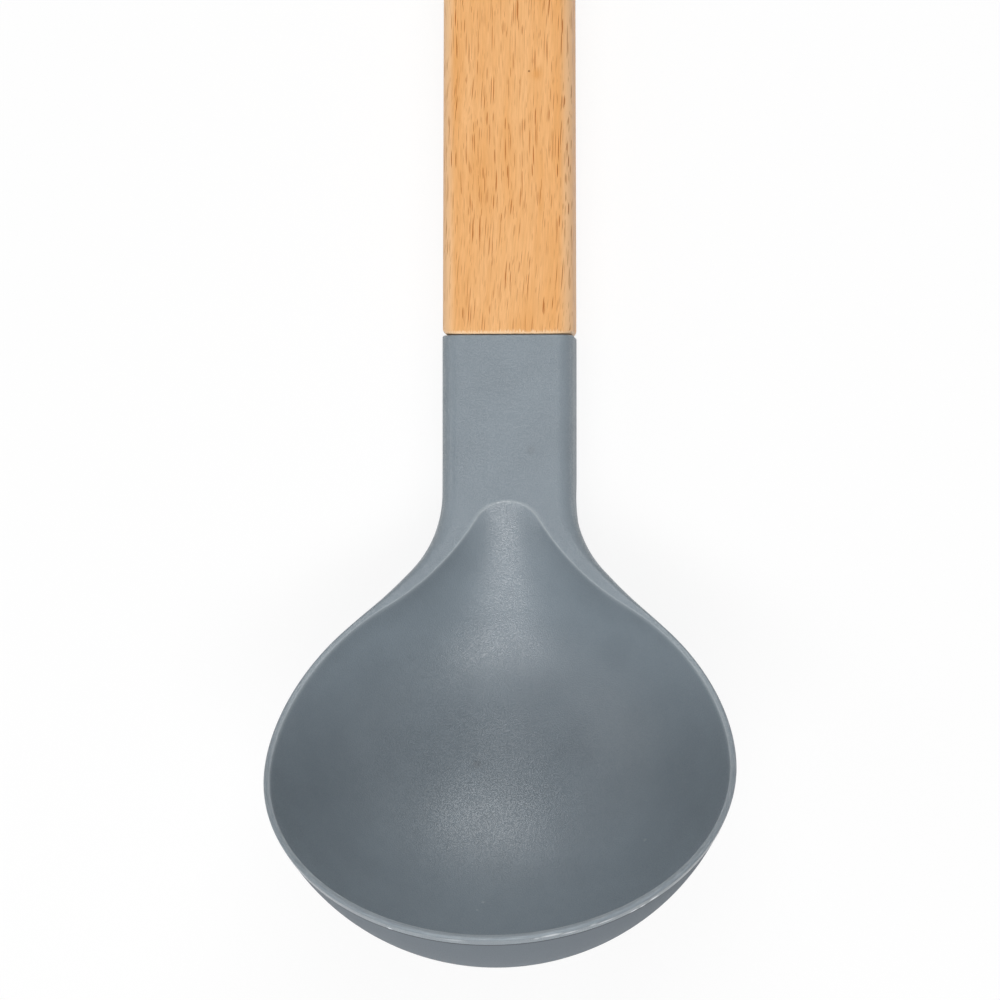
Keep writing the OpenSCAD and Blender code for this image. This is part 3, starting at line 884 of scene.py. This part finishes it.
# %% Beech
BEECH_PALE = (0.94, 0.53, 0.23, 1)
BEECH_WARM = (0.85, 0.415, 0.135, 1)
BEECH_DEEP = (0.66, 0.30, 0.085, 1)
BEECH_SHEEN_AND_FUZZ = (0.97, 0.68, 0.42, 1)
EMBER = (0.76, 0.34, 0.085, 1)
FLECK = (0.41, 0.112, 0.005, 1)
KNOT_HALO, KNOT = (0.76, 0.32, 0.07, 1), (0.26, 0.09, 0.015, 1)
FRONT_Z = 15.4
WANDER_PER_MM, SWAY = (0.05, 0.03, 0.05), (4.0, 0, 4.0)
GRAIN_TURN = (0, math.radians(20), math.radians(2))
EMBER_STRETCH = (1, 0.3, 1)
SHEEN_FROM_AXIS, SHEEN_FROM_MIDDLE = (9.8, 11.6), (4.2, 6.0)
NOISE_MIDDLE = (0.5, 0.5, 0.5)

beech, tree, shader, place = new_material("beech")
wander = put(tree, "ShaderNodeTexNoise",
             {"Vector": vector_calc(tree, "MULTIPLY", place, WANDER_PER_MM), "Scale": 1.0, "Detail": 1.0})
sway = vector_calc(tree, "SUBTRACT", wander.outputs["Color"], NOISE_MIDDLE)
swayed = vector_calc(tree, "ADD", place, vector_calc(tree, "MULTIPLY", sway, SWAY))
grained = put(tree, "ShaderNodeMapping", {"Vector": swayed, "Rotation": GRAIN_TURN}).outputs[0]
streak = use(tree, drift_tree, place=grained, across=4.0, along=45.0, low=0.3, high=0.75)
colour = blend(tree, streak, BEECH_PALE, BEECH_WARM)
fibre = use(tree, drift_tree, place=grained, across=0.3, along=4.0, low=0.25, high=0.75)
colour = tint(tree, colour, BEECH_DEEP, fibre, share=0.42)
ember = use(tree, mark_tree, place=vector_calc(tree, "MULTIPLY", place, EMBER_STRETCH),
            middle=(-4.7, -3.0, FRONT_Z), radius=2.2, softness=2.2)
colour = tint(tree, colour, EMBER, ember, share=0.4)
x, y, z = axes(tree, place)
off_axis = calc(tree, "ABSOLUTE", x)
off_middle = calc(tree, "ABSOLUTE", calc(tree, "SUBTRACT", z, FRONT_Z / 2))
# Painted reflection: the long rounded edges are drawn paler, as they reflect the white surroundings.
edge_sheen = times(tree, fade(tree, off_axis, *SHEEN_FROM_AXIS), fade(tree, off_middle, *SHEEN_FROM_MIDDLE))
colour = tint(tree, colour, BEECH_SHEEN_AND_FUZZ, edge_sheen, share=0.5)
pores = use(tree, fleck_tree, place=grained, spacing=(0.26, 4.4, 0.46), width=0.06, length=1.3)
colour = tint(tree, colour, FLECK, pores, share=0.6)
flecks = use(tree, fleck_tree, place=grained, spacing=(0.32, 9.0, 0.56), width=0.084, length=2.7)
colour = tint(tree, colour, FLECK, flecks)
halo = use(tree, mark_tree, place=place, middle=(5.7, 10.4, FRONT_Z), radius=0.9, softness=0.9)
colour = tint(tree, colour, KNOT_HALO, halo, share=0.5)
knot = use(tree, mark_tree, place=place, middle=(4.2, 11.0, FRONT_Z), radius=0.18, softness=0.12)
colour = tint(tree, colour, KNOT, knot)
print("beech nodes for colour:", len(tree.nodes))

# %% The sawn end and the feel of the beech
HAIR_STRETCH = (1, 0.12, 1)
RAGGED_BY, SAWN_END, SAWN_SHARE = 1.2, (1.0, 1.5), 0.8
SMOOTH_HAIR, ROUGH_HAIR = 0.40, 0.52

hair = use(tree, grain_tree, place=vector_calc(tree, "MULTIPLY", grained, HAIR_STRETCH), size=0.18)
ragged = calc(tree, "MULTIPLY_ADD", hair, RAGGED_BY, calc(tree, "SUBTRACT", y, JOINT_Y))
colour = tint(tree, colour, BEECH_SHEEN_AND_FUZZ, fade(tree, ragged, *SAWN_END, SAWN_SHARE, 0.0))
bump = put(tree, "ShaderNodeBump", {
    "Height": calc(tree, "SUBTRACT", hair, flecks), "Strength": 0.3, "Distance": 0.015 * MM})
wire(tree, shader, {
    "Base Color": colour,
    "Roughness": fade(tree, hair, VALLEY, CREST, SMOOTH_HAIR, ROUGH_HAIR),
    "Specular IOR Level": 0.3,
    "Normal": bump.outputs[0]})
print("beech nodes:", len(tree.nodes))

# %% [markdown]
# ## The shape of the handle
# The handle follows a rule: one rounded section, swept along a straight line, a little narrower at
# the far end, eased at the joint and rounded at the end, with a bevelled hole to hang it by and a
# tenon in the joint. That is work for Geometry Nodes: a profile curve, a path, a formula for the size
# at each place, and a cut. Each size is an input of the tree, so another handle needs other numbers
# and no other nodes.

# %% Sizes of the handle, in millimetres
HANDLE_INPUTS = {
    "Width": 25.2, "Thickness": 15.4, "Length": 200.0, "Edge Radius": 3.0, "Taper": 1.0,
    "Joint Bevel": 0.35, "Joint Corner": 1.2, "Joint Gap": 0.14, "Joint Y": JOINT_Y, "Middle Z": 7.7,
    "End Radius": 10.0, "Hole Diameter": 6.0, "Hole Inset": 14.0, "Hole Bevel": 0.8,
    "Tenon Width": 20.0, "Tenon Thickness": 10.0, "Tenon Length": 25.5, "Tenon Radius": 1.8, "Tenon Z": 7.8}

sweep, given, result = new_group(
    "handle_sweep", "GeometryNodeTree",
    [("Geometry", "NodeSocketGeometry", None)]
    + [(name, FLOAT, mm * MM) for name, mm in HANDLE_INPUTS.items()]
    + [("Wood", "NodeSocketMaterial", None)],
    [("Geometry", "NodeSocketGeometry")])
size = {name: given.outputs[name] for name in HANDLE_INPUTS}
print("sizes of the handle:", len(size))

# %% A bar along Y
EDGE_POINTS = 16
CROWDING = 0.95


def swept_bar(width, thickness, radius, start, end, rings, around):
    """A bar with rounded edges along Y, from start to end, crowded with rings at both ends."""
    outline = put(sweep, "GeometryNodeCurvePrimitiveQuadrilateral", {"Width": width, "Height": thickness})
    rounded = put(sweep, "GeometryNodeFilletCurve",
                  {"Curve": outline.outputs[0], "Count": EDGE_POINTS, "Radius": radius}, mode="POLY")
    profile = put(sweep, "GeometryNodeResampleCurve", {"Curve": rounded.outputs[0], "Count": around})
    straight = put(sweep, "GeometryNodeCurvePrimitiveLine")
    line = put(sweep, "GeometryNodeResampleCurve", {"Curve": straight.outputs[0], "Count": rings})
    share = put(sweep, "GeometryNodeSplineParameter").outputs["Factor"]
    swing = calc(sweep, "SINE", times(sweep, share, math.tau))
    crowded = calc(sweep, "SUBTRACT", share, times(sweep, swing, CROWDING / math.tau))
    along = calc(sweep, "MULTIPLY_ADD", crowded, calc(sweep, "SUBTRACT", end, start), start)
    path = put(sweep, "GeometryNodeSetPosition",
               {"Geometry": line.outputs[0], "Position": vector_of(sweep, y=along)})
    return put(sweep, "GeometryNodeCurveToMesh", {
        "Curve": path.outputs[0], "Profile Curve": profile.outputs[0], "Fill Caps": True}).outputs[0]


def eased(radius, left):
    """How far a quarter round of this radius has drawn in, with this much length left before the end."""
    inside = calc(sweep, "MAXIMUM", left, 0.0)
    short = calc(sweep, "MAXIMUM", calc(sweep, "SUBTRACT", radius, inside), 0.0)
    square = calc(sweep, "SUBTRACT", times(sweep, radius, radius), times(sweep, short, short))
    return calc(sweep, "SUBTRACT", radius, calc(sweep, "SQRT", square))


def narrowed(place, lost, whole):
    """A place across a bar of this whole width, where the bar has lost some of it."""
    return times(sweep, place, calc(sweep, "SUBTRACT", 1.0, calc(sweep, "DIVIDE", lost, whole)))


def moved(geometry, **place):
    """A shape moved from the origin to a place."""
    return put(sweep, "GeometryNodeTransform", {
        "Geometry": geometry, "Translation": vector_of(sweep, **place)}).outputs[0]


print("helpers for bars:", [helper.__name__ for helper in (swept_bar, eased, narrowed, moved)])

# %% The bar and its tenon
BAR_RINGS, BAR_AROUND = 150, 180
TENON_RINGS, TENON_AROUND = 8, 64
TENON_OVERLAP = 2.0 * MM

bar = swept_bar(size["Width"], size["Thickness"], size["Edge Radius"], size["Joint Gap"], size["Length"],
                BAR_RINGS, BAR_AROUND)
x, y, z = axes(sweep, put(sweep, "GeometryNodeInputPosition").outputs[0])
left = calc(sweep, "SUBTRACT", size["Length"], y)
from_joint = calc(sweep, "SUBTRACT", y, size["Joint Gap"])
taper = times(sweep, size["Taper"], calc(sweep, "DIVIDE", y, size["Length"]))
rounding = calc(sweep, "ADD", eased(size["End Radius"], left), eased(size["Joint Corner"], from_joint))
lost = calc(sweep, "MULTIPLY_ADD", rounding, 2.0, taper)
face_rounding = calc(sweep, "ADD", eased(size["Edge Radius"], left), eased(size["Joint Bevel"], from_joint))
lost_face = times(sweep, face_rounding, 2.0)
shaped_place = vector_of(
    sweep, narrowed(x, lost, size["Width"]), y,
    calc(sweep, "ADD", narrowed(z, lost_face, size["Thickness"]), size["Middle Z"]))
shaped = put(sweep, "GeometryNodeSetPosition", {"Geometry": bar, "Position": shaped_place}).outputs[0]

tenon = swept_bar(size["Tenon Width"], size["Tenon Thickness"], size["Tenon Radius"],
                  times(sweep, size["Tenon Length"], -1.0), TENON_OVERLAP, TENON_RINGS, TENON_AROUND)
whole = put(sweep, "GeometryNodeMeshBoolean", operation="UNION", solver="EXACT")
for solid in (shaped, moved(tenon, z=size["Tenon Z"])):
    sweep.links.new(solid, whole.inputs["Mesh 2"])
print("nodes with bar and tenon:", len(sweep.nodes))

# %% The hanging hole
HOLE_SIDES = 72
DRILL_PER_THICKNESS = 1.5

hole_y = calc(sweep, "SUBTRACT", size["Length"], size["Hole Inset"])
hole_r = times(sweep, size["Hole Diameter"], 0.5)
deep = times(sweep, size["Hole Bevel"], 2.0)
wide = calc(sweep, "ADD", hole_r, deep)


def countersink(bottom, top):
    """A cone that bevels one end of the hole. Half of its height stands outside of the wood."""
    return put(sweep, "GeometryNodeMeshCone", {
        "Vertices": HOLE_SIDES, "Radius Top": top, "Radius Bottom": bottom, "Depth": deep})


drill_depth = times(sweep, size["Thickness"], DRILL_PER_THICKNESS)
drill = put(sweep, "GeometryNodeMeshCylinder",
            {"Vertices": HOLE_SIDES, "Radius": hole_r, "Depth": drill_depth})
cutters = [
    (drill, size["Middle Z"]),
    (countersink(wide, hole_r), times(sweep, size["Hole Bevel"], -1.0)),
    (countersink(hole_r, wide), calc(sweep, "SUBTRACT", size["Thickness"], size["Hole Bevel"]))]
holed = put(sweep, "GeometryNodeMeshBoolean", {"Mesh 1": whole.outputs[0]},
            operation="DIFFERENCE", solver="EXACT")
for cutter, base in cutters:
    sweep.links.new(moved(cutter.outputs[0], y=hole_y, z=base), holed.inputs["Mesh 2"])
print("cutters for the hole:", len(cutters))

# %% The end of the tree
SHARP_HANDLE_EDGE = math.radians(32)

placed = moved(holed.outputs[0], y=size["Joint Y"])
smooth = put(sweep, "GeometryNodeSetShadeSmooth", {"Geometry": placed, "Shade Smooth": True})
edge_angle = put(sweep, "GeometryNodeInputMeshEdgeAngle").outputs[0]
sharp = calc(sweep, "GREATER_THAN", edge_angle, SHARP_HANDLE_EDGE)
creased = put(sweep, "GeometryNodeSetShadeSmooth",
              {"Geometry": smooth.outputs[0], "Selection": sharp, "Shade Smooth": False}, domain="EDGE")
real = put(sweep, "GeometryNodeRealizeInstances", {"Geometry": creased.outputs[0]})
finished = put(sweep, "GeometryNodeSetMaterial",
               {"Geometry": real.outputs[0], "Material": given.outputs["Wood"]})
wire(sweep, result, {"Geometry": finished.outputs[0]})
print("handle tree:", len(sweep.nodes), "nodes")

# %% Grow the handle and keep it as a plain mesh
handle = add_object("beech_handle", bpy.data.meshes.new("beech_handle"))
grow = handle.modifiers.new("sweep", "NODES")
grow.node_group = sweep
for item in sweep.interface.items_tree:
    if item.item_type == "SOCKET" and item.in_out == "INPUT":
        if item.name in HANDLE_INPUTS:
            grow[item.identifier] = HANDLE_INPUTS[item.name] * MM
        elif item.name == "Wood":
            grow[item.identifier] = beech
graph = bpy.context.evaluated_depsgraph_get()
handle_mesh = bpy.data.meshes.new_from_object(handle.evaluated_get(graph), depsgraph=graph)
handle.modifiers.remove(grow)
handle.data = handle_mesh
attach(handle, "root")
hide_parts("handle")
corners = np.array([v.co for v in handle_mesh.vertices]) / MM
print("handle:", len(handle_mesh.polygons), "faces, box", corners.min(0).round(2), corners.max(0).round(2))

# %% [markdown]
# ## The glue
# The glue is hidden in the joint, so its solid stays as it is. It still gets a finish: hard, slightly
# clouded resin, for whoever takes the ladle apart.

# %% Glue
RESIN_PALE, RESIN_DEEP = (0.78, 0.68, 0.45, 1), (0.66, 0.54, 0.30, 1)

glue, tree, shader, place = new_material("hard_glue")
haze = use(tree, drift_tree, place=place, across=2.5, along=4.0, low=0.3, high=0.7)
wire(tree, shader, {
    "Base Color": blend(tree, haze, RESIN_PALE, RESIN_DEEP),
    "Roughness": fade(tree, haze, 0, 1, 0.25, 0.4)})
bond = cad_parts["adhesive_bond"]
bond.data.materials.clear()
bond.data.materials.append(glue)
print("glue on", bond.name)

# %% [markdown]
# ## Last measure
# The dressed ladle has to keep within the box of its solids. Both boxes are written down to compare.

# %% Measure and finish
visual_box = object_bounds()
room_low = [round((a - b) / MM, 3) for a, b in zip(visual_box[0], cad_box[0])]
room_high = [round((b - a) / MM, 3) for a, b in zip(visual_box[1], cad_box[1])]
print("room left in mm, at the low corner:", room_low, "and at the high one:", room_high)
